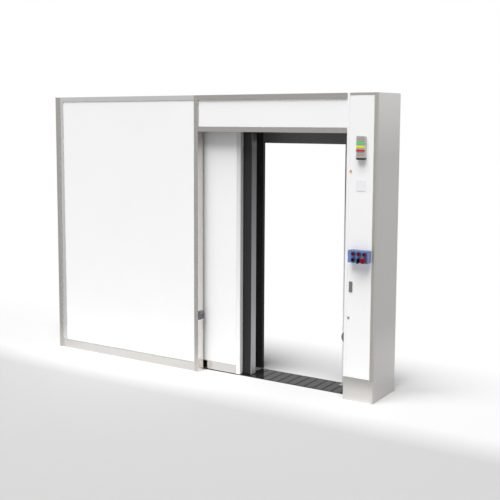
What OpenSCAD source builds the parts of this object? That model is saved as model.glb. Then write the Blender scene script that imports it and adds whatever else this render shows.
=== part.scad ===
// Radiation shielding sliding door.
// A layered leaf hangs from a running rail and slides along the wall, from a clad bay on the
// left, across the passage of a black portal frame, into a hollow control column on the right.
// Millimetres. X runs along the wall, Y into the wall, Z up from the floor.
// The origin is on the floor, in the middle of the passage and of the threshold plate's depth.

/* [Passage] */
// Clear width between the portal stiles
passage_w = 814; // [740:1:1000]
// Clear height under the portal top rail
passage_h = 2078; // [1900:1:2300]
// Width of the portal stiles and height of its top rail
portal_w = 250; // [150:1:300]
// Thickness of the portal frame
portal_t = 35; // [20:1:45]
// Width of the steel strip at the passage's closing edge
strip_w = 14; // [8:1:30]
// Diameter of the wall anchor holes
anchor_d = 14; // [10:1:18]
// Distance of the anchor holes from the outer edge of a stile
anchor_inset = 50; // [30:1:70]
// Height of the lower anchor holes above the floor
anchor_low = 350; // [200:10:500]
// Rise from the lower to the upper anchor holes
anchor_rise = 1500; // [1000:10:1600]

/* [Cladding] */
// Depth from the cladding front to the wall
depth = 455; // [445:1:600]
// Width of the left bay, up to the middle post
bay_w = 1674; // [1600:1:2000]
// Width of the middle post
mid_post_w = 43; // [30:1:60]
// Width of the opening between the middle post and the column
opening_w = 1456; // [1400:1:1700]
// Distance from the passage to the column
column_gap = 217; // [200:1:260]
// Height from the passage top to the underside of the header
header_rise = 103; // [60:1:140]
// Height of the header
header_h = 319; // [300:1:400]
// Height of the header rails and of the left bay's top trim
rail_h = 43; // [30:1:60]
// Depth of the posts and rails
post_d = 80; // [50:1:90]
// Width of the left corner post
left_post_w = 53; // [30:1:70]
// Width of the light inner trim beside the left post
trim_w = 37; // [20:1:60]
// Thickness of the inner trim
trim_t = 30; // [25:1:40]
// Thickness of the white panels
panel_t = 18; // [12:1:25]
// Set-back of the inner trim
trim_recess = 6; // [2:1:12]
// Set-back of the bay and header panels
panel_recess = 12; // [4:1:20]
// Height of the left bay's skirting
skirting_h = 81; // [60:1:120]
// Set-back of the bay skirting
skirting_recess = 5; // [2:1:10]
// Thickness of the side panels
side_t = 20; // [10:1:30]
// Thickness of the top cover sheet
cover_t = 4; // [2:1:6]
// Width of the seam round a panel's face
seam = 2; // [1:0.5:4]
// Depth of the seam round a panel's face
seam_d = 3; // [1:0.5:6]

/* [Control column] */
// Width of the column
column_w = 256; // [240:1:320]
// Width of the white post at the column's left edge
edge_post_w = 22; // [15:1:36]
// Width of the trim at the column's right edge
edge_trim_w = 23; // [21:1:25]
// Depth of the trim and of the column's skirting
edge_trim_d = 30; // [25:1:60]
// Height of the trim at the column's top
top_trim_h = 20; // [15:1:40]
// Height of the column's skirting
column_skirting_h = 196; // [150:1:250]

/* [Leaf] */
// Width of the leaf over its core
leaf_w = 1680; // [1500:1:1750]
// Set-back of the leaf's front behind the cladding front
leaf_setback = 114; // [105:1:118]
// How far the open leaf's end shows inside the passage
leaf_show = 43; // [0:1:60]
// Thickness of the white front layer
front_t = 46; // [30:1:50]
// Thickness of the dark core layer
core_t = 76; // [60:1:90]
// Thickness of the rear shielding layer
rear_t = 163; // [130:1:170]
// Step from the white front's edge to the core's end
nose_step = 90; // [60:1:110]
// Width of the white nose strip
nose_w = 38; // [30:1:60]
// Radius of the nose strip's outer edge
nose_r = 8; // [4:1:12]
// Step from the core's end back to the rear layer's end
rear_step = 125; // [110:1:160]
// Thickness of the steel plate on the core's end
end_t = 3; // [2:1:8]
// Thickness of the steel plate under the leaf
sole_t = 6; // [5:1:20]
// Gap from the floor to the leaf
floor_gap = 11; // [11:1:20]
// Height of the leaf's skirting
leaf_skirting_h = 76; // [60:1:120]
// Rise of the leaf above the passage top
leaf_rise = 170; // [120:1:180]

/* [Running gear] */
// Gap from the leaf top to the running rail
hanger_gap = 105; // [95:1:110]
// Outer width of the running rail
rail_w = 90; // [80:1:100]
// Outer height of the running rail
rail_d = 90; // [80:1:92]
// Wall of the running rail
rail_t = 8; // [6:1:10]
// Width of the slot in the running rail's underside
rail_slot = 34; // [34:1:36]
// Thickness of the running beam's plates
beam_t = 12; // [8:1:14]
// Number of gussets in the running beam
gusset_count = 6; // [3:1:10]
// Thickness of a gusset
gusset_t = 10; // [6:1:15]
// Radius of a trolley wheel
wheel_r = 27; // [20:1:28]
// Width of a trolley wheel
wheel_w = 13; // [10:1:14]
// Distance between a trolley's wheel axles
wheel_base = 110; // [70:1:150]
// Radius of a hanger bolt
bolt_r = 12; // [8:0.5:12]
// Distance of a trolley from the end of the leaf
hanger_inset = 300; // [200:10:450]
// Length of the bracket on the leaf top
bracket_l = 220; // [160:10:300]
// Width of the bracket on the leaf top
bracket_w = 140; // [80:10:160]
// Thickness of the bracket on the leaf top
bracket_t = 15; // [8:1:25]
// Gap between a wheel and the rail it rests on
wheel_seat = 0.3; // [0.1:0.1:0.5]

/* [Threshold] */
// Thickness of the threshold's base sheet
plate_base_t = 2; // [1:0.5:2]
// Height of the threshold's slats above the base sheet
slat_t = 3; // [1:0.5:3]
// Distance from slat to slat
slat_pitch = 86; // [60:1:110]
// Gap between two slats
slat_gap = 9; // [5:1:20]
// Set-back of the threshold's front edge
plate_setback = 126; // [100:1:140]
// Reach of the threshold behind the middle post
plate_reach_left = 136; // [20:1:300]
// Reach of the threshold into the column
plate_reach_right = 60; // [30:1:100]

/* [Signal lamp and plates] */
// Width of the signal lamp
lamp_w = 72; // [60:1:90]
// Height of the signal lamp
lamp_h = 188; // [160:1:220]
// Depth of the signal lamp
lamp_d = 38; // [25:1:60]
// Distance of the lamp's middle below the column's top
lamp_drop = 434; // [380:1:480]
// Distance of the lamp's middle from the column's left face
lamp_x = 136; // [120:1:150]
// Corner radius of the lamp
lamp_r = 8; // [3:1:14]
// Height of one coloured lens
lens_h = 15; // [12:1:22]
// Distance from lens to lens
lens_pitch = 29; // [26:1:34]
// Rise of the yellow lens above the lamp's middle
lens_rise = 9; // [0:1:15]
// How far a lens stands out of the lamp
lens_proud = 2; // [1:0.5:4]
// How far a lens reaches into the lamp
lens_seat = 5; // [3:1:10]
// Distance from groove to groove on the lamp's housing
groove_pitch = 13; // [12:1:16]
// Width of a groove on the lamp's housing
groove_w = 4; // [2:0.5:5]
// Depth of a groove on the lamp's housing
groove_d = 3; // [1:0.5:3]
// Number of grooves above the lenses, and of those below them
groove_count = 3; // [1:1:3]
// Side of the blank sign plate
sign_w = 86; // [60:1:110]
// Distance of the sign plate's middle below the lamp's middle
sign_drop = 299; // [200:1:400]
// Thickness of the sign plate
sign_t = 3; // [1:0.5:5]
// Corner radius of the sign plate
sign_r = 6; // [2:1:15]
// Width of the reader plate
reader_w = 30; // [20:1:40]
// Height of the reader plate
reader_h = 88; // [60:1:120]
// Thickness of the reader plate
reader_t = 4; // [2:1:8]
// Height of the reader plate's middle above the floor
reader_z = 944; // [850:1:1050]
// Radius of the panel locks
lock_r = 10; // [6:1:15]
// How far a panel lock stands out
lock_t = 5; // [4:1:8]
// Distance of the upper panel lock below the column's top
lock_drop = 620; // [560:1:640]
// Height of the lower panel lock above the floor
lock_low_z = 690; // [400:1:800]
// Width of a panel lock's key slot
slot_w = 3; // [2:0.5:5]
// Depth of a panel lock's key slot
slot_d = 2; // [1:0.5:3]
// Distance of the locks from the column's left face
lock_x = 40; // [38:1:50]
// Length of a photocell's chord on its post
cell_h = 80; // [60:1:120]
// How far a photocell stands out of its post
cell_out = 26; // [15:1:35]
// Thickness of a photocell's base under its domed face
cell_base = 6; // [4:1:12]
// Depth of a photocell
cell_d = 62; // [40:1:64]
// Height of a photocell's middle above the floor
cell_z = 521; // [300:1:800]

/* [Control box] */
// Width of the control box
box_w = 176; // [172:1:182]
// Height of the control box
box_h = 99; // [97:1:120]
// Depth of the control box
box_d = 60; // [40:1:70]
// Corner radius of the control box
box_r = 5; // [2:0.5:10]
// Height of the control box's middle above the floor
box_z = 1203; // [1100:1:1300]
// Distance of the control box's middle from the column's left face
box_x = 141; // [128:1:142]
// Height of the groove between the box and its lid
lid_seam = 2; // [1:0.5:3]
// Thickness of the box's lid
lid_t = 12; // [8:1:16]
// Distance of the controls' middle from the box's middle
control_shift = 12; // [0:1:14]
// Distance from control to control along a row
control_pitch = 48.5; // [46:0.5:50]
// Distance between the two rows of controls
row_pitch = 48; // [44:0.5:48]
// Outer radius of a control's collar
collar_r = 17; // [15.5:0.5:18]
// How far a collar stands out of the box
collar_h = 18; // [17:0.5:20]
// Radius of a control's cap inside its collar
cap_r = 13.5; // [10:0.5:14]
// Radial clearance of a cap in its collar
cap_clear = 0.3; // [0.2:0.1:0.5]
// How far a push button's cap stands back from the rim of its collar
cap_recess = 8; // [3:0.5:8]
// How far the selector's cap stands out of its collar
cap_proud = 5; // [5:0.5:8]
// Travel of a push button and of the emergency stop
press = 4; // [3:0.5:5]
// Room left behind a pressed button
press_spare = 1; // [0.5:0.5:2]
// Length of the selector's lever from its turning axis to its tip
lever_l = 26; // [24:1:32]
// Width of the selector's lever
lever_w = 14; // [10:1:16]
// How far the selector's lever stands out of its cap
lever_h = 14; // [8:1:18]
// Length of the emergency stop's stem in front of its collar
stem_l = 14; // [8:1:20]
// Radius of the emergency stop's mushroom head
mushroom_r = 21; // [18:1:22]
// Thickness of the mushroom head
mushroom_t = 16; // [10:1:18]
// Rise of the dome on the mushroom head
dome_h = 5; // [3:1:6]

/* [Hidden] */
$fn = 48;

// Colours
steel_warm = [0.60, 0.59, 0.57];
steel_light = [0.76, 0.76, 0.76];
steel_pale = [0.83, 0.82, 0.80];
white = [0.96, 0.96, 0.96];
black = [0.09, 0.09, 0.09];
graphite = [0.19, 0.19, 0.20];
plate_grey = [0.33, 0.33, 0.33];
zinc = [0.66, 0.68, 0.70];
lamp_grey = [0.55, 0.54, 0.52];
box_blue = [0.33, 0.45, 0.70];
signal_red = [0.72, 0.10, 0.12];

// A cut runs this far past the face it opens
cut = 1;

// Places along the wall
x_portal = passage_w / 2;
x_column = x_portal + column_gap;
x_right = x_column + column_w;
x_mid_right = x_column - opening_w;
x_mid_left = x_mid_right - mid_post_w;
x_left = x_mid_left - bay_w;
x_bay = x_left + left_post_w;
x_panel = x_column + edge_post_w;
x_trim = x_right - edge_trim_w;
x_control = x_column + box_x + control_shift;

// Places into the wall
plate_d = depth - portal_t - plate_setback;
y_front = -plate_setback - plate_d / 2;
y_wall = y_front + depth;
y_leaf = y_front + leaf_setback;
y_core = y_leaf + front_t;
y_rear = y_core + core_t;
y_leaf_back = y_rear + rear_t;
y_rail = (y_leaf + y_leaf_back) / 2;
y_box = y_front - box_d;

// Heights
z_header = passage_h + header_rise;
total_h = z_header + header_h;
z_top_rail = total_h - rail_h;
leaf_top = passage_h + leaf_rise;
z_rail = leaf_top + hanger_gap;
z_beam = z_rail + rail_d;
z_sole = floor_gap + sole_t;
z_lamp = total_h - lamp_drop;
z_sign = z_lamp - sign_drop;
z_row = box_z - row_pitch / 2;

// The leaf in its open place
x_leaf_right = -x_portal + leaf_show;
x_leaf_left = x_leaf_right - leaf_w;
x_white = x_leaf_right - nose_step;
x_nose = x_white - nose_w;
z_leaf_panel = floor_gap + leaf_skirting_h;

// A box from its low corner to its high corner
module block(low, high) {
    translate(low)
        cube(high - low);
}

// A rectangle with round corners about its middle
module round_rect(w, h, r) {
    square([w, h - 2 * r], center = true);
    square([w - 2 * r, h], center = true);
    for (sx = [-1, 1], sz = [-1, 1])
        translate([sx * (w / 2 - r), sz * (h / 2 - r)])
            circle(r);
}

// Turns an outline in X and Z into a solid that stands out from y towards the front
module stand_out(y, t) {
    translate([0, y, 0])
        rotate([90, 0, 0])
            linear_extrude(t)
                children();
}

// A board whose front face has a seam along its edges
module seamed_board(low, high) {
    block([low[0], low[1] + seam_d, low[2]], high);
    block([low[0] + seam, low[1], low[2] + seam], [high[0] - seam, low[1] + seam_d, high[2] - seam]);
}

module left_post() {
    color(steel_warm)
        block([x_left, y_front, 0], [x_bay, y_front + post_d, total_h]);
}

module left_side_panel() {
    color(steel_light)
        block([x_left, y_front + post_d, 0], [x_left + side_t, y_wall, total_h]);
}

module left_trim() {
    y = y_front + trim_recess;
    color(steel_light) {
        block([x_bay, y, skirting_h], [x_bay + trim_w, y + trim_t, total_h]);
        block([x_bay, y, z_top_rail], [x_mid_left, y + trim_t, total_h]);
    }
}

module left_bay_panel() {
    y = y_front + panel_recess;
    color(white)
        seamed_board([x_bay + trim_w, y, skirting_h], [x_mid_left, y + panel_t, z_top_rail]);
}

module left_bay_skirting() {
    y = y_front + skirting_recess;
    color(steel_pale)
        block([x_bay, y, 0], [x_mid_left, y + trim_t, skirting_h]);
}

module mid_post() {
    color(steel_warm)
        block([x_mid_left, y_front, 0], [x_mid_right, y_front + post_d, total_h]);
}

module header_top_rail() {
    color(steel_warm)
        block([x_mid_right, y_front, z_top_rail], [x_column, y_front + post_d, total_h]);
}

module header_panel() {
    y = y_front + panel_recess;
    color(white)
        seamed_board([x_mid_right, y, z_header + rail_h], [x_column, y + panel_t, z_top_rail]);
}

module header_bottom_rail() {
    color(steel_warm)
        block([x_mid_right, y_front, z_header], [x_column, y_front + post_d, z_header + rail_h]);
}

// The sheet over the cladding, which reaches forward between the posts to the trim
module top_cover() {
    y = y_front + post_d;
    z = total_h - cover_t;
    color(steel_light) {
        block([x_left + side_t, y, z], [x_right - side_t, y_wall, total_h]);
        block([x_bay, y_front + trim_recess + trim_t, z], [x_mid_left, y + cut, total_h]);
        block([x_panel, y_front + edge_trim_d, z], [x_right - side_t, y + cut, total_h]);
    }
}

// One portal stile of full height, between x0 and x1, with its anchor holes at x_hole
module portal_stile(x0, x1, x_hole) {
    color(black)
        difference() {
            block([x0, y_wall - portal_t, 0], [x1, y_wall, passage_h + portal_w]);
            for (z = [anchor_low, anchor_low + anchor_rise])
                translate([x_hole, y_wall + cut, z])
                    rotate([90, 0, 0])
                        cylinder(d = anchor_d, h = portal_t + 2 * cut);
        }
}

module portal_left_stile() {
    x0 = -x_portal - portal_w;
    portal_stile(x0, -x_portal, x0 + anchor_inset);
}

module portal_right_stile() {
    x1 = x_portal + portal_w;
    portal_stile(x_portal + strip_w, x1, x1 - anchor_inset);
}

module closing_strip() {
    color(steel_light)
        block([x_portal, y_wall - portal_t, 0], [x_portal + strip_w, y_wall, passage_h]);
}

// The rail between the stiles, over the passage
module portal_top_rail() {
    x1 = x_portal + strip_w;
    color(black)
        block([-x_portal, y_wall - portal_t, passage_h], [x1, y_wall, passage_h + portal_w]);
}

// An angle of two plates along the wall, on the portal
module running_beam() {
    x0 = x_left + side_t;
    x1 = x_right - side_t;
    y1 = y_wall - beam_t;
    color(zinc) {
        block([x0, y1, passage_h + portal_w], [x1, y_wall, z_beam + beam_t]);
        block([x0, y_rail - rail_w / 2, z_beam], [x1, y1, z_beam + beam_t]);
    }
}

// The triangular plates that stiffen the running beam behind the running rail
module beam_gussets() {
    x0 = x_left + side_t;
    y1 = y_wall - beam_t;
    step = (x_right - side_t - x0 - gusset_t) / (gusset_count - 1);
    color(zinc)
        for (i = [0 : gusset_count - 1])
            translate([x0 + i * step, 0, 0])
                rotate([90, 0, 90])
                    linear_extrude(gusset_t)
                        polygon([
                            [y_rail + rail_w / 2 + cut, z_beam],
                            [y1, z_beam],
                            [y1, passage_h + portal_w]
                        ]);
}

// Two plates that hang from the running beam and hold the bars of the running rail
module rail_webs() {
    color(zinc)
        for (y = [y_rail - rail_w / 2, y_rail + rail_w / 2 - rail_t])
            block([x_left + side_t, y, z_rail], [x_right - side_t, y + rail_t, z_beam]);
}

// Two bars at the foot of the webs, which carry the trolleys' wheels
module running_rail() {
    bar_w = (rail_w - rail_slot) / 2 - rail_t;
    color(zinc)
        for (y = [y_rail - rail_slot / 2 - bar_w, y_rail + rail_slot / 2])
            block([x_left + side_t, y, z_rail], [x_right - side_t, y + bar_w, z_rail + rail_t]);
}

// A base sheet with a row of slats on it
module threshold_plate() {
    x0 = x_mid_left - plate_reach_left;
    x1 = x_column + plate_reach_right;
    y = plate_d / 2;
    count = floor((x1 - x0 + slat_gap) / slat_pitch);
    color(plate_grey) {
        block([x0, -y, 0], [x1, y, plate_base_t]);
        for (i = [0 : count - 1])
            translate([x0 + i * slat_pitch, -y, plate_base_t])
                cube([slat_pitch - slat_gap, plate_d, slat_t]);
    }
}

// The white post at the column's left edge, whose front stands on the skirting
module column_edge_post() {
    y = y_front + edge_trim_d;
    color(white) {
        block([x_column, y, 0], [x_panel, y_front + post_d, total_h]);
        block([x_column, y_front, column_skirting_h], [x_panel, y, total_h]);
    }
}

module column_front_panel() {
    low = [x_panel, y_front, column_skirting_h];
    high = [x_trim, y_front + panel_t, total_h - top_trim_h];
    color(white)
        seamed_board(low, high);
}

module column_trim() {
    y = y_front + edge_trim_d;
    color(steel_warm) {
        block([x_trim, y_front, column_skirting_h], [x_right, y, total_h]);
        block([x_panel, y_front, total_h - top_trim_h], [x_right, y, total_h]);
    }
}

module column_side_panel() {
    color(steel_light)
        block([x_right - side_t, y_front + edge_trim_d, 0], [x_right, y_wall, total_h]);
}

module column_skirting() {
    color(steel_pale)
        block([x_column, y_front, 0], [x_right, y_front + edge_trim_d, column_skirting_h]);
}

// The outline of the lens that is i steps above the yellow one, across the whole lamp
module lens_outline(i) {
    translate([x_column + lamp_x, z_lamp + lens_rise + i * lens_pitch])
        square([lamp_w, lens_h], center = true);
}

// The outlines of the grooves above the lenses (side 1) or below them (side -1)
module groove_outlines(side) {
    z = z_lamp + lens_rise + side * (lens_pitch + lens_h / 2);
    for (i = [1 : groove_count])
        translate([x_column + lamp_x, z + side * (i - 1 / 2) * groove_pitch])
            square([lamp_w + 2 * cut, groove_w], center = true);
}

module signal_lamp() {
    y = y_front - lamp_d;
    color(lamp_grey)
        difference() {
            stand_out(y_front, lamp_d)
                translate([x_column + lamp_x, z_lamp])
                    round_rect(lamp_w, lamp_h, lamp_r);
            for (i = [-1 : 1])
                stand_out(y + lens_seat, lens_seat + cut)
                    lens_outline(i);
            for (side = [-1, 1])
                stand_out(y + groove_d, groove_d + cut)
                    groove_outlines(side);
        }
}

// One coloured lens in its seat
module lens(i) {
    stand_out(y_front - lamp_d + lens_seat, lens_seat + lens_proud)
        lens_outline(i);
}

module lamp_green() {
    color("limegreen")
        lens(1);
}

module lamp_yellow() {
    color("gold")
        lens(0);
}

module lamp_red() {
    color("red")
        lens(-1);
}

module sign_plate() {
    color(white)
        stand_out(y_front, sign_t)
            translate([x_column + column_w / 2, z_sign])
                round_rect(sign_w, sign_w, sign_r);
}

module reader_plate() {
    color(lamp_grey)
        stand_out(y_front, reader_t)
            translate([x_column + lock_x + reader_w / 2, reader_z])
                round_rect(reader_w, reader_h, reader_t);
}

// A round cam lock on the column's front panel, with a key slot
module panel_lock(z) {
    difference() {
        stand_out(y_front, lock_t)
            translate([x_column + lock_x, z])
                circle(lock_r);
        stand_out(y_front - lock_t + slot_d, slot_d + cut)
            translate([x_column + lock_x, z])
                square([slot_w, lock_r], center = true);
    }
}

module upper_lock() {
    color("darkgoldenrod")
        panel_lock(total_h - lock_drop);
}

module lower_lock() {
    color(steel_light)
        panel_lock(lock_low_z);
}

// A photocell on the post face at x: a base with a domed face, standing out in the direction of side
module photocell(x, side) {
    dome = cell_out - cell_base;
    r = (cell_h * cell_h / 4 + dome * dome) / (2 * dome);
    color(graphite)
        stand_out(y_front + (post_d + cell_d) / 2, cell_d)
            translate([x, cell_z])
                intersection() {
                    translate([side * (cell_out - r), 0])
                        circle(r);
                    translate([side * cell_out / 2, 0])
                        square([cell_out, cell_h], center = true);
                }
}

module left_photocell() {
    photocell(x_mid_right, 1);
}

module right_photocell() {
    photocell(x_column, -1);
}

// Moves an outline to the control in column i (-1 to 1) and row j (0 below, 1 above)
module at_control(i, j) {
    translate([x_control + i * control_pitch, z_row + j * row_pitch])
        children();
}

// A box with a groove round it where the lid begins
module control_box() {
    color(box_blue)
        difference() {
            stand_out(y_front, box_d)
                translate([x_column + box_x, box_z])
                    round_rect(box_w, box_h, box_r);
            stand_out(y_box + lid_t + lid_seam, lid_seam)
                translate([x_column + box_x, box_z])
                    difference() {
                        square([box_w + 2 * cut, box_h + 2 * cut], center = true);
                        round_rect(box_w - 2 * lid_seam, box_h - 2 * lid_seam, box_r - lid_seam / 2);
                    }
        }
}

// A collar round each of the six controls
module control_bezels() {
    color(box_blue)
        for (i = [-1 : 1], j = [0, 1])
            stand_out(y_box, collar_h)
                at_control(i, j)
                    difference() {
                        circle(collar_r);
                        circle(cap_r + cap_clear);
                    }
}

// A push button's cap, set back in its collar, with room behind it for its travel
module button_cap(i, j) {
    room = press + press_spare;
    stand_out(y_box - room, collar_h - room - cap_recess)
        at_control(i, j)
            circle(cap_r);
}

module push_button_left() {
    color(signal_red)
        button_cap(-1, 1);
}

module push_button_middle() {
    color(signal_red)
        button_cap(0, 1);
}

module push_button_right() {
    color(signal_red)
        button_cap(1, 1);
}

module black_button() {
    color(black)
        button_cap(-1, 0);
}

// A turning cap with a lever across it that points down
module selector_switch() {
    cap_h = collar_h + cap_proud;
    head = cap_r - lever_w / 2;
    tip = lever_w / 2 - lever_l;
    color(black) {
        stand_out(y_box - cap_clear, cap_h - cap_clear)
            at_control(0, 0)
                circle(cap_r);
        stand_out(y_box - cap_h, lever_h)
            at_control(0, 0) {
                translate([-lever_w / 2, tip])
                    square([lever_w, head - tip]);
                for (z = [head, tip])
                    translate([0, z])
                        circle(lever_w / 2);
            }
    }
}

// A domed mushroom head in front of its collar, on a stem
module emergency_stop() {
    room = press + press_spare;
    dome_r = (mushroom_r * mushroom_r + dome_h * dome_h) / (2 * dome_h);
    color(signal_red) {
        stand_out(y_box - room, collar_h + stem_l + cut - room)
            at_control(1, 0)
                circle(cap_r);
        translate([x_control + control_pitch, y_box - collar_h - stem_l, z_row])
            rotate([90, 0, 0])
                intersection() {
                    cylinder(r = mushroom_r, h = mushroom_t);
                    translate([0, 0, mushroom_t - dome_r])
                        sphere(dome_r);
                }
    }
}

module leaf_front_panel() {
    color(white)
        seamed_board([x_leaf_left, y_leaf, z_leaf_panel], [x_nose, y_core, leaf_top]);
}

// The white strip at the leaf's leading edge, with a rounded outer corner
module leaf_nose_strip() {
    color(white)
        translate([0, 0, floor_gap])
            linear_extrude(leaf_top - floor_gap) {
                translate([x_nose, y_leaf + nose_r])
                    square([nose_w, front_t - nose_r]);
                translate([x_nose, y_leaf])
                    square([nose_w - nose_r, nose_r]);
                translate([x_white - nose_r, y_leaf + nose_r])
                    circle(nose_r);
            }
}

module leaf_skirting() {
    color(steel_pale)
        block([x_leaf_left, y_leaf, floor_gap], [x_nose, y_core, z_leaf_panel]);
}

module leaf_core() {
    color(graphite)
        block([x_leaf_left, y_core, z_sole], [x_leaf_right - end_t, y_rear, leaf_top]);
}

module leaf_end_plate() {
    color(steel_light)
        block([x_leaf_right - end_t, y_core, floor_gap], [x_leaf_right, y_rear, leaf_top]);
}

module leaf_rear_layer() {
    color(steel_light)
        block([x_leaf_left, y_rear, z_sole], [x_leaf_right - rear_step, y_leaf_back, leaf_top]);
}

module leaf_sole_plate() {
    color(graphite) {
        block([x_leaf_left, y_core, floor_gap], [x_leaf_right - end_t, y_rear, z_sole]);
        block([x_leaf_left, y_core, floor_gap], [x_leaf_right - rear_step, y_leaf_back, z_sole]);
    }
}

// A trolley at x: four wheels on two axles, a carriage, a hanger bolt and its bracket
module trolley(x) {
    axle_z = z_rail + rail_t + wheel_seat + wheel_r;
    wheel_y = rail_slot / 2 + cut;
    carriage_l = wheel_base + 2 * bolt_r;
    translate([x, y_rail, 0]) {
        translate([-bracket_l / 2, -bracket_w / 2, leaf_top])
            cube([bracket_l, bracket_w, bracket_t]);
        translate([0, 0, leaf_top])
            cylinder(r = bolt_r, h = axle_z - leaf_top);
        translate([-carriage_l / 2, -wheel_y, axle_z - bolt_r])
            cube([carriage_l, 2 * wheel_y, 2 * bolt_r]);
        for (sx = [-1, 1], sy = [-1, 1])
            translate([sx * wheel_base / 2, sy * (wheel_y + wheel_w / 2), axle_z])
                rotate([90, 0, 0])
                    cylinder(r = wheel_r, h = wheel_w, center = true);
    }
}

module leaf_hangers() {
    color(zinc) {
        trolley(x_leaf_left + hanger_inset);
        trolley(x_leaf_right - hanger_inset);
    }
}

left_post();
left_side_panel();
left_trim();
left_bay_panel();
left_bay_skirting();
mid_post();
header_top_rail();
header_panel();
header_bottom_rail();
top_cover();
portal_left_stile();
portal_right_stile();
portal_top_rail();
closing_strip();
running_beam();
beam_gussets();
rail_webs();
running_rail();
threshold_plate();
column_edge_post();
column_front_panel();
column_trim();
column_side_panel();
column_skirting();
signal_lamp();
lamp_green();
lamp_yellow();
lamp_red();
sign_plate();
reader_plate();
upper_lock();
lower_lock();
left_photocell();
right_photocell();
control_box();
control_bezels();
push_button_left();
push_button_middle();
push_button_right();
black_button();
selector_switch();
emergency_stop();
leaf_front_panel();
leaf_nose_strip();
leaf_skirting();
leaf_core();
leaf_end_plate();
leaf_rear_layer();
leaf_sole_plate();
leaf_hangers();
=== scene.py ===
"""Looks of the radiation shielding sliding door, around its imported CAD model. Metres."""
import math

import bmesh
import bpy
from mathutils import Matrix, Vector


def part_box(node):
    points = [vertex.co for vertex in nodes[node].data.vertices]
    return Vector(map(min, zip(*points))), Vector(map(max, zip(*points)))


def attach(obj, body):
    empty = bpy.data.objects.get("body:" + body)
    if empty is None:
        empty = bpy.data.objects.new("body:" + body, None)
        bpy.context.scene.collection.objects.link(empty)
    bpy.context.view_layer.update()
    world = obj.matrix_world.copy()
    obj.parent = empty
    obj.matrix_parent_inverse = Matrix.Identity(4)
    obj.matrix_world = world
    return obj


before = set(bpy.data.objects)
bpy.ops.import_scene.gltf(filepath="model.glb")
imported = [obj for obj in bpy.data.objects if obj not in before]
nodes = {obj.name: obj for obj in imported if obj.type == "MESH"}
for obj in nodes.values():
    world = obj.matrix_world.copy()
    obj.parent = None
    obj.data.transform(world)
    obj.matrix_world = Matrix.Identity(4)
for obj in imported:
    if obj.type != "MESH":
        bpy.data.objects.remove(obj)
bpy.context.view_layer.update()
scene = bpy.context.scene
scene.view_settings.view_transform = "Standard"
MM = 0.001

# Camera: the photograph's view, for a square image
CAMERA_PLACE = (3.8927, -6.9596, 2.3032)
CAMERA_PITCH = 6.46
CAMERA_YAW = 34.371
CAMERA_SENSOR = 36
CAMERA_LENS = 66.29
CAMERA_SHIFT = (0.0764, -0.0562)

camera_data = bpy.data.cameras.new("camera")
camera_data.sensor_width = CAMERA_SENSOR
camera_data.lens = CAMERA_LENS
camera_data.shift_x, camera_data.shift_y = CAMERA_SHIFT
camera = bpy.data.objects.new("camera", camera_data)
camera.location = CAMERA_PLACE
camera.rotation_euler = (math.radians(90 - CAMERA_PITCH), 0, math.radians(CAMERA_YAW))
scene.collection.objects.link(camera)
scene.camera = camera

# Shader helpers: the range of a noise, and how far a face turns to an axis before its tint of painted light
# and shade starts and is full
NOISE_LOW = 0.3
NOISE_HIGH = 0.7
FACING_START = 0.5
FACING_FULL = 0.7
LOOKS = {}


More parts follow.
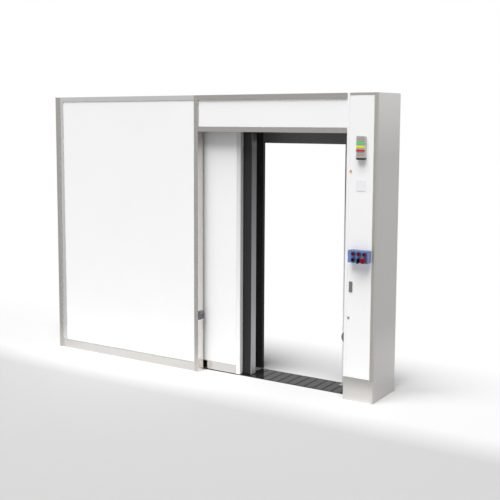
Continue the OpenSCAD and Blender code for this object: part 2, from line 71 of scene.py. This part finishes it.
class Shader:
    """One material, kept in LOOKS by its name, with short calls for the nodes used here."""

    def __init__(self, name):
        self.material = bpy.data.materials.new(name)
        LOOKS[name] = self.material
        self.material.use_nodes = True
        self.tree = self.material.node_tree
        self.bsdf = self.tree.nodes["Principled BSDF"]
        coordinates = self.add("ShaderNodeTexCoord")
        self.place = coordinates.outputs["Object"]
        self.normal = coordinates.outputs["Normal"]

    def add(self, kind, **settings):
        node = self.tree.nodes.new(kind)
        for key, value in settings.items():
            setattr(node, key, value)
        return node

    def link(self, source, target):
        self.tree.links.new(source, target)

    def set(self, **values):
        """Sets constants on the shader's own sockets, with _ for a space in a socket's name."""
        for key, value in values.items():
            self.bsdf.inputs[key.replace("_", " ")].default_value = value

    def noise(self, scale, stretch=(1, 1, 1), detail=3):
        mapping = self.add("ShaderNodeMapping")
        mapping.inputs["Scale"].default_value = stretch
        self.link(self.place, mapping.inputs["Vector"])
        node = self.add("ShaderNodeTexNoise")
        node.inputs["Scale"].default_value = scale
        node.inputs["Detail"].default_value = detail
        self.link(mapping.outputs["Vector"], node.inputs["Vector"])
        return node.outputs["Fac"]

    def axis(self, vector, name):
        split = self.add("ShaderNodeSeparateXYZ")
        self.link(vector, split.inputs["Vector"])
        return split.outputs[name]

    def height(self, low, high):
        """0 at the height low and 1 at the height high."""
        return self.span(self.axis(self.place, "Z"), low, high, 0, 1)

    def facing(self, axis):
        """1 on faces that look along this axis, 0 on the others."""
        return self.span(self.axis(self.normal, axis), FACING_START, FACING_FULL, 0, 1)

    def span(self, value, from_low, from_high, to_low, to_high):
        node = self.add("ShaderNodeMapRange")
        for key, number in zip(("From Min", "From Max", "To Min", "To Max"),
                               (from_low, from_high, to_low, to_high)):
            node.inputs[key].default_value = number
        self.link(value, node.inputs["Value"])
        return node.outputs["Result"]

    def spread(self, noise, middle, reach):
        """A number that varies with a noise, by reach to each side of middle."""
        return self.span(noise, NOISE_LOW, NOISE_HIGH, middle - reach, middle + reach)

    def ramp(self, value, stops):
        node = self.add("ShaderNodeValToRGB")
        for _ in stops[2:]:
            node.color_ramp.elements.new(0.5)
        for element, (position, colour) in zip(node.color_ramp.elements, stops):
            element.position = position
            element.color = (*colour, 1)
        self.link(value, node.inputs["Fac"])
        return node.outputs["Color"]

    def vary(self, noise, colour, dark, light):
        """A colour that varies with a noise, from dark to light times itself."""
        return self.ramp(noise, [(NOISE_LOW, shade(colour, dark)), (NOISE_HIGH, shade(colour, light))])

    def mix(self, factor, first, second, blend="MIX"):
        node = self.add("ShaderNodeMix", data_type="RGBA", blend_type=blend)
        for socket, value in (("Factor", factor), ("A", first), ("B", second)):
            target = next(i for i in node.inputs if i.name == socket and i.enabled)
            if isinstance(value, bpy.types.NodeSocket):
                self.link(value, target)
            else:
                target.default_value = value
        return next(o for o in node.outputs if o.enabled)

    def facing_light_and_shade(self, axis, tint, other):
        """The tint, with another colour painted on the faces that look along an axis, as painted light and
        shade.
        """
        return self.mix(self.facing(axis), tint, (*other, 1))

    def colour(self, value):
        self.link(value, self.bsdf.inputs["Base Color"])

    def roughness(self, value):
        self.link(value, self.bsdf.inputs["Roughness"])

    def bump(self, value, distance, strength=1.0):
        node = self.add("ShaderNodeBump")
        node.inputs["Distance"].default_value = distance
        node.inputs["Strength"].default_value = strength
        self.link(value, node.inputs["Height"])
        self.link(node.outputs["Normal"], self.bsdf.inputs["Normal"])


def shade(colour, factor):
    return tuple(min(1.0, c * factor) for c in colour)


def srgb(*levels):
    """Linear colour of an 8-bit screen colour."""
    return tuple(((v / 255 + 0.055) / 1.055) ** 2.4 for v in levels)


# Materials: the scales of their noises, how far these change tint and roughness, and how deep they are
CLOUD_SCALE = 1.6
CLOUD_SHARE = 0.06
CLOUD_DARK = 0.6
BRUSH_SCALE = 900
BRUSH_DARK = 0.95
BRUSH_LIGHT = 1.05
BRUSH_ROUGH = 0.04
BRUSH_DEPTH = 0.00004
BRUSH_STRENGTH = 0.5
PATCH_SCALE = 2.2
PATCH_DARK = 0.985
PEEL_SCALE = 420
PEEL_ROUGH = 0.05
PEEL_DEPTH = 0.00005
SPECK_SCALE = 1500
SPECK_DARK = 0.92
SPECK_LIGHT = 1.06
SPECK_ROUGH = 0.06
SPECK_DEPTH = 0.00003
FOOT_SHADE_EDGE = 0.002
WHITE = (1, 1, 1)
ALONG_X = (0.02, 1, 1)
ALONG_Z = (1, 1, 0.02)


def finish_steel(shader, tint, lines, roughness):
    """Gives the shader a brushed metal of this tint, with slow clouds and fine lines."""
    clouds = shader.vary(shader.noise(CLOUD_SCALE), WHITE, CLOUD_DARK, 1.0)
    shader.set(Metallic=1.0)
    shader.colour(shader.mix(CLOUD_SHARE, tint, clouds, "MULTIPLY"))
    shader.roughness(shader.spread(lines, roughness, BRUSH_ROUGH))
    shader.bump(lines, BRUSH_DEPTH, BRUSH_STRENGTH)


def brushed_steel(name, colour, grain, roughness=0.2, reveal_reflection=None):
    """Steel brushed along the axis whose stretch in grain is small; reveal is a painted reflection on the
    right-hand faces.
    """
    shader = Shader(name)
    lines = shader.noise(BRUSH_SCALE, grain, 2)
    tint = shader.vary(lines, colour, BRUSH_DARK, BRUSH_LIGHT)
    if reveal_reflection:
        tint = shader.mix(shader.facing("X"), tint, shader.ramp(shader.height(0, CLADDING_TOP), reveal_reflection))
    finish_steel(shader, tint, lines, roughness)


def steel_with_painted_shading(name, stops, top, grain, roughness=0.2):
    """Steel with painted reflection and shade in its tint, which change with height, in stops from the floor
    (0) to top (1).
    """
    shader = Shader(name)
    lines = shader.noise(BRUSH_SCALE, grain, 2)
    fine = shader.vary(lines, WHITE, BRUSH_DARK, 1.0)
    tint = shader.mix(1.0, shader.ramp(shader.height(0, top), stops), fine, "MULTIPLY")
    finish_steel(shader, tint, lines, roughness)


def paint(name, colour, roughness=0.35, peel=PEEL_DEPTH, specular=0.5, shade_tones=None, side=None):
    """Powder coat with a faint orange peel.

    tones is painted shade: a height, and the tone at each share of it from the floor; side is painted shade
    on the right-hand faces.
    """
    shader = Shader(name)
    shader.set(Specular_IOR_Level=specular)
    tint = shader.vary(shader.noise(PATCH_SCALE), colour, PATCH_DARK, 1.0)
    if shade_tones:
        top, stops = shade_tones
        shadow = shader.ramp(shader.height(0, top), [(share, shade(WHITE, tone)) for share, tone in stops])
        tint = shader.mix(1.0, tint, shadow, "MULTIPLY")
    if side:
        tint = shader.facing_light_and_shade("X", tint, side)
    shader.colour(tint)
    grain = shader.noise(PEEL_SCALE)
    shader.roughness(shader.spread(grain, roughness, PEEL_ROUGH))
    shader.bump(grain, peel)


def plastic(name, colour, roughness=0.4, specular=0.5, side=None, top=None, foot_shade=None, reach=SPECK_ROUGH):
    """Moulded plastic with a fine spark-eroded grain.

    side and top are painted light and shade on the right-hand and upper faces, seal is a painted shade at the
    foot:
    a colour and the height up to which it goes, and reach is how far the roughness varies.
    """
    shader = Shader(name)
    shader.set(Specular_IOR_Level=specular)
    speck = shader.noise(SPECK_SCALE)
    tint = shader.vary(speck, colour, SPECK_DARK, SPECK_LIGHT)
    if side:
        tint = shader.facing_light_and_shade("X", tint, side)
    if top:
        tint = shader.facing_light_and_shade("Z", tint, top)
    if foot_shade:
        shade_colour, shade_top = foot_shade
        tint = shader.mix(shader.height(shade_top, shade_top - FOOT_SHADE_EDGE), tint, (*shade_colour, 1))
    shader.colour(tint)
    shader.roughness(shader.spread(speck, roughness, reach))
    shader.bump(speck, SPECK_DEPTH)


# The first two are the painted shade at the signal lamp's foot, its height in millimetres and its top; the
# others are tops of parts
LAMP_FOOT_SHADE = 18
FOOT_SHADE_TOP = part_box("signal_lamp")[0][2] + LAMP_FOOT_SHADE * MM
SKIRTING_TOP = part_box("column_skirting")[1][2]
LEAF_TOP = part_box("leaf_end_plate")[1][2]
PASSAGE_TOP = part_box("closing_strip")[1][2]
CLADDING_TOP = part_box("column_side_panel")[1][2]
SLAT_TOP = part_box("threshold_plate")[1][2]

# Steels, from the cladding to the locks
WARM = srgb(190, 186, 182)
PALE = srgb(223, 220, 217)
# Post reveals: painted reflection on the right-hand faces, lighter towards the floor
REVEAL_REFLECTION_STOPS = [(0.0, srgb(242, 238, 234)), (0.25, srgb(230, 226, 222)), (1.0, srgb(206, 202, 198))]
# Side panels: painted reflection, lighter at the floor and at the top
SIDE_REFLECTION_STOPS = [(0.0, srgb(202, 200, 198)), (0.25, srgb(174, 172, 170)),
              (0.8, srgb(178, 176, 174)), (1.0, srgb(204, 202, 200))]
# Column skirting: painted shade, darker towards its top
FOOT_SHADE_STOPS = [(0.0, PALE), (0.5, shade(PALE, 0.88)), (0.9, shade(PALE, 0.72))]
# Leaf end plate: painted reflection and shade, light near the floor, darkest near the top and lighter again
# above that
END_REFLECTION_STOPS = [(0.0, srgb(215, 215, 219)), (0.028, srgb(228, 228, 232)), (0.044, srgb(201, 201, 205)),
             (0.1, srgb(180, 180, 184)), (0.3, srgb(148, 148, 152)), (0.905, srgb(79, 79, 81)),
             (0.96, srgb(135, 135, 137))]
brushed_steel("post_steel", WARM, ALONG_Z, 0.25, REVEAL_REFLECTION_STOPS)
brushed_steel("rail_steel", WARM, ALONG_X)
brushed_steel("edge_steel", srgb(182, 178, 172), ALONG_Z, 0.5)
brushed_steel("trim_steel", srgb(225, 225, 224), ALONG_Z)
# Toe strips: pale and rough, a painted reflection
brushed_steel("toe_steel", srgb(184, 184, 183), ALONG_X, 0.7)
brushed_steel("pale_steel", shade(PALE, 0.85), ALONG_X, 0.1)
brushed_steel("leaf_foot_steel", shade(PALE, 0.86), ALONG_X, 0.1)
brushed_steel("zinc", srgb(175, 178, 182), ALONG_X, 0.38)
brushed_steel("brass", srgb(240, 190, 125), ALONG_X, 0.3)
brushed_steel("lock_steel", srgb(165, 165, 165), ALONG_X, 0.25)
steel_with_painted_shading("side_steel", SIDE_REFLECTION_STOPS, CLADDING_TOP, ALONG_Z, 0.35)
steel_with_painted_shading("foot_steel", FOOT_SHADE_STOPS, SKIRTING_TOP, ALONG_X, 0.15)
steel_with_painted_shading("end_steel", END_REFLECTION_STOPS, LEAF_TOP, ALONG_Z, 0.4)

# Paints
paint("white_coat", srgb(248, 248, 248))
# Leaf front: painted shadow under the header, darker over the top of the leaf
paint("leaf_coat", srgb(248, 248, 248), shade_tones=(LEAF_TOP, [(0.89, 1.0), (1.0, 0.5)]))
# Leaf nose: painted shade, darker towards the top
paint("nose_coat", srgb(250, 250, 250), shade_tones=(LEAF_TOP, [(0.1, 1.0), (0.85, 0.72), (1.0, 0.5)]))
# Closing strip: painted reflection and shade, dark at the top and light at the foot
paint("strip_coat", srgb(236, 236, 236), 0.4, shade_tones=(PASSAGE_TOP, [(0.1, 1.0), (1.0, 0.25)]))
# Portal stiles: right-hand faces painted darker, a painted shade
paint("black_coat", srgb(54, 54, 54), specular=0.08, side=srgb(22, 22, 22))
# Portal top rail: the black coat painted a lighter grey, a painted reflection
paint("head_coat", srgb(100, 100, 100), specular=0.25)
paint("core_coat", srgb(38, 38, 39), 0.5, specular=0.25)
# Threshold: painted shade, nearly black in its grooves
paint("threshold", srgb(43, 43, 42), 0.06, 0.00001, 0.066, shade_tones=(SLAT_TOP, [(0.6, 0.05), (0.8, 1.0)]))
paint("sign", srgb(240, 240, 242), 0.2)

# Plastics
# Signal lamp: right-hand faces painted lighter, a painted light, and a dark band of painted shade at its foot
plastic("lamp_grey", srgb(178, 176, 172), 0.45, side=srgb(205, 203, 200), foot_shade=(srgb(45, 46, 45), FOOT_SHADE_TOP),
        reach=0.05)
plastic("lens_green", srgb(80, 215, 90), 0.2)
plastic("lens_yellow", srgb(225, 235, 30), 0.2)
plastic("lens_red", srgb(205, 10, 35), 0.2)
plastic("reader", srgb(122, 114, 108), 0.45)
# Control box: right-hand faces painted lighter and upper faces painted darker, as painted light and shade
plastic("box_blue", srgb(104, 130, 186), 0.35, side=srgb(134, 151, 194), top=srgb(84, 98, 128))
plastic("collar_blue", srgb(56, 66, 96), 0.45, 0.3)
plastic("button_red", srgb(134, 2, 4), 0.3, 0.1)
plastic("button_black", srgb(4, 4, 5), 0.35, 0.1)
plastic("cell_grey", srgb(99, 101, 103), 0.5)
plastic("cell_lens", srgb(40, 40, 44), 0.12)

FINISH = {
    "post_steel": ["left_post", "mid_post"],
    "rail_steel": ["header_top_rail", "header_bottom_rail"],
    "edge_steel": ["column_trim"],
    "trim_steel": ["left_trim", "top_cover"],
    "side_steel": ["column_side_panel", "left_side_panel", "leaf_rear_layer"],
    "pale_steel": ["left_bay_skirting"],
    "leaf_foot_steel": ["leaf_skirting"],
    "foot_steel": ["column_skirting"],
    "end_steel": ["leaf_end_plate"],
    "strip_coat": ["closing_strip"],
    "zinc": ["running_beam", "beam_gussets", "rail_webs", "running_rail", "leaf_hangers"],
    "white_coat": ["left_bay_panel", "header_panel", "column_edge_post", "column_front_panel"],
    "leaf_coat": ["leaf_front_panel"],
    "nose_coat": ["leaf_nose_strip"],
    "black_coat": ["portal_left_stile", "portal_right_stile"],
    "head_coat": ["portal_top_rail"],
    "core_coat": ["leaf_core", "leaf_sole_plate"],
    "cell_grey": ["left_photocell", "right_photocell"],
    "threshold": ["threshold_plate"],
    "lamp_grey": ["signal_lamp"],
    "lens_green": ["lamp_green"],
    "lens_yellow": ["lamp_yellow"],
    "lens_red": ["lamp_red"],
    "sign": ["sign_plate"],
    "reader": ["reader_plate"],
    "box_blue": ["control_box"],
    "collar_blue": ["control_bezels"],
    "button_red": ["push_button_left", "push_button_middle", "push_button_right", "emergency_stop"],
    "button_black": ["black_button", "selector_switch"],
    "brass": ["upper_lock"],
    "lock_steel": ["lower_lock"],
}
for look, names in FINISH.items():
    for name in names:
        nodes[name].data.materials.clear()
        nodes[name].data.materials.append(LOOKS[look])

# Edges: the folded and machined pieces have small rounds, in millimetres
ROUNDS = {
    1.5: ["left_post", "mid_post", "header_top_rail", "header_bottom_rail", "column_trim", "column_edge_post",
          "leaf_core", "leaf_rear_layer"],
    1.0: ["left_trim", "left_side_panel", "column_side_panel", "column_skirting", "left_bay_skirting",
          "leaf_skirting", "left_photocell", "right_photocell"],
    0.7: ["control_box", "push_button_left", "push_button_middle", "push_button_right", "black_button",
          "selector_switch", "emergency_stop", "control_bezels", "reader_plate", "sign_plate"],
}
ROUND_STEPS = 2
SHARP_ANGLE = 40
WELD_REACH = 0.01
for width, names in ROUNDS.items():
    for name in names:
        weld = nodes[name].modifiers.new("weld", "WELD")
        weld.merge_threshold = WELD_REACH * MM
        bevel = nodes[name].modifiers.new("round", "BEVEL")
        bevel.width = width * MM
        bevel.segments = ROUND_STEPS
        bevel.limit_method = "ANGLE"
        bevel.angle_limit = math.radians(SHARP_ANGLE)


# Detail pieces: screws, nuts, lenses and trim that are too fine for the solids
def hexagon(across):
    """The radius of a hexagon, as a function of the angle, from its size across flats."""
    def radius(angle):
        return across / 2 / math.cos((angle + math.pi / 6) % (math.pi / 3) - math.pi / 6)
    return radius


def turned(shape, centre, out, rings, segments=24):
    """Adds a closed body: rings are radii, or functions of the angle, at distances along out. Millimetres."""
    aim = Vector(out).to_track_quat("Z", "Y").to_matrix().to_4x4()
    place = Matrix.Translation(centre) @ aim @ Matrix.Scale(MM, 4)
    loops = []
    for size, along in rings:
        loop = []
        for step in range(segments):
            angle = 2 * math.pi * step / segments
            radius = size(angle) if callable(size) else size
            spot = Vector((radius * math.cos(angle), radius * math.sin(angle), along))
            loop.append(shape.verts.new(place @ spot))
        loops.append(loop)
    for lower, upper in zip(loops, loops[1:]):
        for step in range(segments):
            shape.faces.new((lower[step - 1], lower[step], upper[step], upper[step - 1]))
    shape.faces.new(reversed(loops[0]))
    shape.faces.new(loops[-1])


def strip(shape, start, end, profile):
    """Adds a bar along the wall between two places in X, with an outline in Y and Z."""
    first, last = [[shape.verts.new((x, y, z)) for y, z in profile] for x in (start, end)]
    for step in range(len(profile)):
        shape.faces.new((first[step - 1], first[step], last[step], last[step - 1]))
    shape.faces.new(first)
    shape.faces.new(reversed(last))


def add_piece(name, shape, look, body):
    bmesh.ops.recalc_face_normals(shape, faces=shape.faces)
    mesh = bpy.data.meshes.new(name)
    shape.to_mesh(mesh)
    shape.free()
    mesh.materials.append(LOOKS[look])
    piece = bpy.data.objects.new(name, mesh)
    scene.collection.objects.link(piece)
    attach(piece, body)


OUTWARD = (0, -1, 0)
UP = (0, 0, 1)

# Four socket screws hold the control box's lid
SCREW_INSET = 8
SCREW_SINK = 1
SCREW_HEAD = 3.6
SCREW_RISE = 1.6
SCREW_SOCKET = hexagon(3.4)
SCREW_RINGS = [(SCREW_HEAD, -SCREW_SINK), (SCREW_HEAD, 0.7 * SCREW_RISE), (0.88 * SCREW_HEAD, SCREW_RISE),
               (SCREW_SOCKET, SCREW_RISE), (SCREW_SOCKET, 0)]
low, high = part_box("control_box")
screws = bmesh.new()
for x in (low[0] + SCREW_INSET * MM, high[0] - SCREW_INSET * MM):
    for z in (low[2] + SCREW_INSET * MM, high[2] - SCREW_INSET * MM):
        turned(screws, (x, low[1], z), OUTWARD, SCREW_RINGS)
add_piece("lid_screws", screws, "lock_steel", "surround")

# A nut on a washer holds each hanger bolt, and four screws hold its bracket on the leaf
BRACKET_HALF = 110
BRACKET_T = 15
BRACKET_SCREW_X = 85
BRACKET_SCREW_Y = 50
NUT_HEX = hexagon(36)
NUT_RINGS = [(22, -1), (22, 4), (NUT_HEX, 4), (NUT_HEX, 21), (16.5, 22.5), (12.5, 22.5)]
HEAD_HEX = hexagon(19)
HEAD_RINGS = [(12, -1), (12, 2.5), (HEAD_HEX, 2.5), (HEAD_HEX, 9.5), (8.5, 10.5)]
low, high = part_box("leaf_hangers")
middle = (low[1] + high[1]) / 2
bracket_top = low[2] + BRACKET_T * MM
nuts = bmesh.new()
for x in (low[0] + BRACKET_HALF * MM, high[0] - BRACKET_HALF * MM):
    turned(nuts, (x, middle, bracket_top), UP, NUT_RINGS)
    for across in (-BRACKET_SCREW_Y, BRACKET_SCREW_Y):
        for along in (-BRACKET_SCREW_X, BRACKET_SCREW_X):
            turned(nuts, (x + along * MM, middle + across * MM, bracket_top), UP, HEAD_RINGS)
add_piece("hanger_nuts", nuts, "zinc", "leaf")

# Each photocell has a small dark lens at the crest of its domed face
LENS_RINGS = [(8, -3), (8, 0.3), (7.2, 0.8), (6.4, 0.8), (5, 0.4)]
lenses = bmesh.new()
for name, facing in (("left_photocell", 1), ("right_photocell", -1)):
    low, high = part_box(name)
    crest = (high if facing > 0 else low)[0]
    turned(lenses, (crest, (low[1] + high[1]) / 2, (low[2] + high[2]) / 2), (facing, 0, 0), LENS_RINGS)
add_piece("photocell_lenses", lenses, "cell_lens", "surround")

# A thin steel angle runs along the foot of each portal stile, on the threshold; its pale rough tint is a
# painted reflection, the light line on the plate there
TOE_H = 3
TOE_T = 1
TOE_REACH = 85
toe_top = SLAT_TOP + TOE_T * MM
upstand_top = SLAT_TOP + TOE_H * MM
angles = bmesh.new()
for name in ("portal_left_stile", "portal_right_stile"):
    low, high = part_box(name)
    back = low[1] + TOE_T / 2 * MM
    face = low[1] - TOE_T * MM
    toe = low[1] - TOE_REACH * MM
    strip(angles, low[0], high[0], [(back, SLAT_TOP), (toe, SLAT_TOP), (toe, toe_top), (face, toe_top),
                                    (face, upstand_top), (back, upstand_top)])
add_piece("toe_strips", angles, "toe_steel", "surround")


# Stage: its plain white is for camera, glossy and transmission rays alone, and adds no diffuse light
def seen_rays(tree):
    """1 for camera, glossy and transmission rays, 0 for the others."""
    path = tree.nodes.new("ShaderNodeLightPath")
    seen = path.outputs["Is Camera Ray"]
    for ray in ("Is Glossy Ray", "Is Transmission Ray"):
        either = tree.nodes.new("ShaderNodeMath")
        either.operation = "MAXIMUM"
        tree.links.new(seen, either.inputs[0])
        tree.links.new(path.outputs[ray], either.inputs[1])
        seen = either.outputs[0]
    return seen


# Floor: pale at the door's foot, greyer further out in front, and fading to plain white behind
FLOOR_REACH = 60.0
FLOOR_TONE = 0.7
FRONT_FLOOR_TONE = 0.5
FRONT_FAR = -1.0
FRONT_NEAR = -0.55
FADE_NEAR = 0.35
FADE_FAR = 1.3

floor_mesh = bpy.data.meshes.new("floor")
floor_mesh.from_pydata([(-FLOOR_REACH, -FLOOR_REACH, 0), (FLOOR_REACH, -FLOOR_REACH, 0),
                        (FLOOR_REACH, FLOOR_REACH, 0), (-FLOOR_REACH, FLOOR_REACH, 0)], [], [(0, 1, 2, 3)])
floor = bpy.data.objects.new("floor", floor_mesh)
scene.collection.objects.link(floor)
ground = Shader("floor")
ground.set(Roughness=0.9, Specular_IOR_Level=0.0)
depth = ground.axis(ground.place, "Y")
ground.colour(ground.ramp(ground.span(depth, FRONT_FAR, FRONT_NEAR, 0, 1),
                          [(0, shade(WHITE, FRONT_FLOOR_TONE)), (1, shade(WHITE, FLOOR_TONE))]))
glow = ground.add("ShaderNodeEmission")
fade = ground.add("ShaderNodeMixShader")
white_share = ground.add("ShaderNodeMath", operation="MULTIPLY")
ground.link(ground.span(depth, FADE_NEAR, FADE_FAR, 0, 1), white_share.inputs[0])
ground.link(seen_rays(ground.tree), white_share.inputs[1])
ground.link(white_share.outputs[0], fade.inputs["Fac"])
ground.link(ground.bsdf.outputs["BSDF"], fade.inputs[1])
ground.link(glow.outputs["Emission"], fade.inputs[2])
ground.link(fade.outputs["Shader"], ground.tree.nodes["Material Output"].inputs["Surface"])
floor.data.materials.append(ground.material)

# Light: a large soft lamp high in front, and a world that is white behind the door and grey in front
FILL = 0.2
FRONT_TONE = 0.68
TONE_FRONT = -0.8
TONE_BACK = 0.2
LAMP_STRENGTH = 4.15
LAMP_ANGLE = 45
LAMP_ELEVATION = 65
LAMP_AZIMUTH = 2

world = bpy.data.worlds.new("studio")
world.use_nodes = True
scene.world = world
tree = world.node_tree
strength = tree.nodes.new("ShaderNodeMapRange")
strength.inputs["To Min"].default_value = FILL
strength.inputs["To Max"].default_value = 1.0
tree.links.new(seen_rays(tree), strength.inputs["Value"])
direction = tree.nodes.new("ShaderNodeSeparateXYZ")
tree.links.new(tree.nodes.new("ShaderNodeTexCoord").outputs["Generated"], direction.inputs["Vector"])
tone = tree.nodes.new("ShaderNodeMapRange")
tone.inputs["From Min"].default_value = TONE_FRONT
tone.inputs["From Max"].default_value = TONE_BACK
tone.inputs["To Min"].default_value = FRONT_TONE
tone.inputs["To Max"].default_value = 1.0
tree.links.new(direction.outputs["Y"], tone.inputs["Value"])
background = tree.nodes["Background"]
tree.links.new(tone.outputs["Result"], background.inputs["Color"])
tree.links.new(strength.outputs["Result"], background.inputs["Strength"])

lamp_data = bpy.data.lights.new("lamp", "SUN")
lamp_data.energy = LAMP_STRENGTH
lamp_data.angle = math.radians(LAMP_ANGLE)
lamp = bpy.data.objects.new("lamp", lamp_data)
lamp.rotation_euler = (math.radians(90 - LAMP_ELEVATION), 0, math.radians(-LAMP_AZIMUTH))
scene.collection.objects.link(lamp)
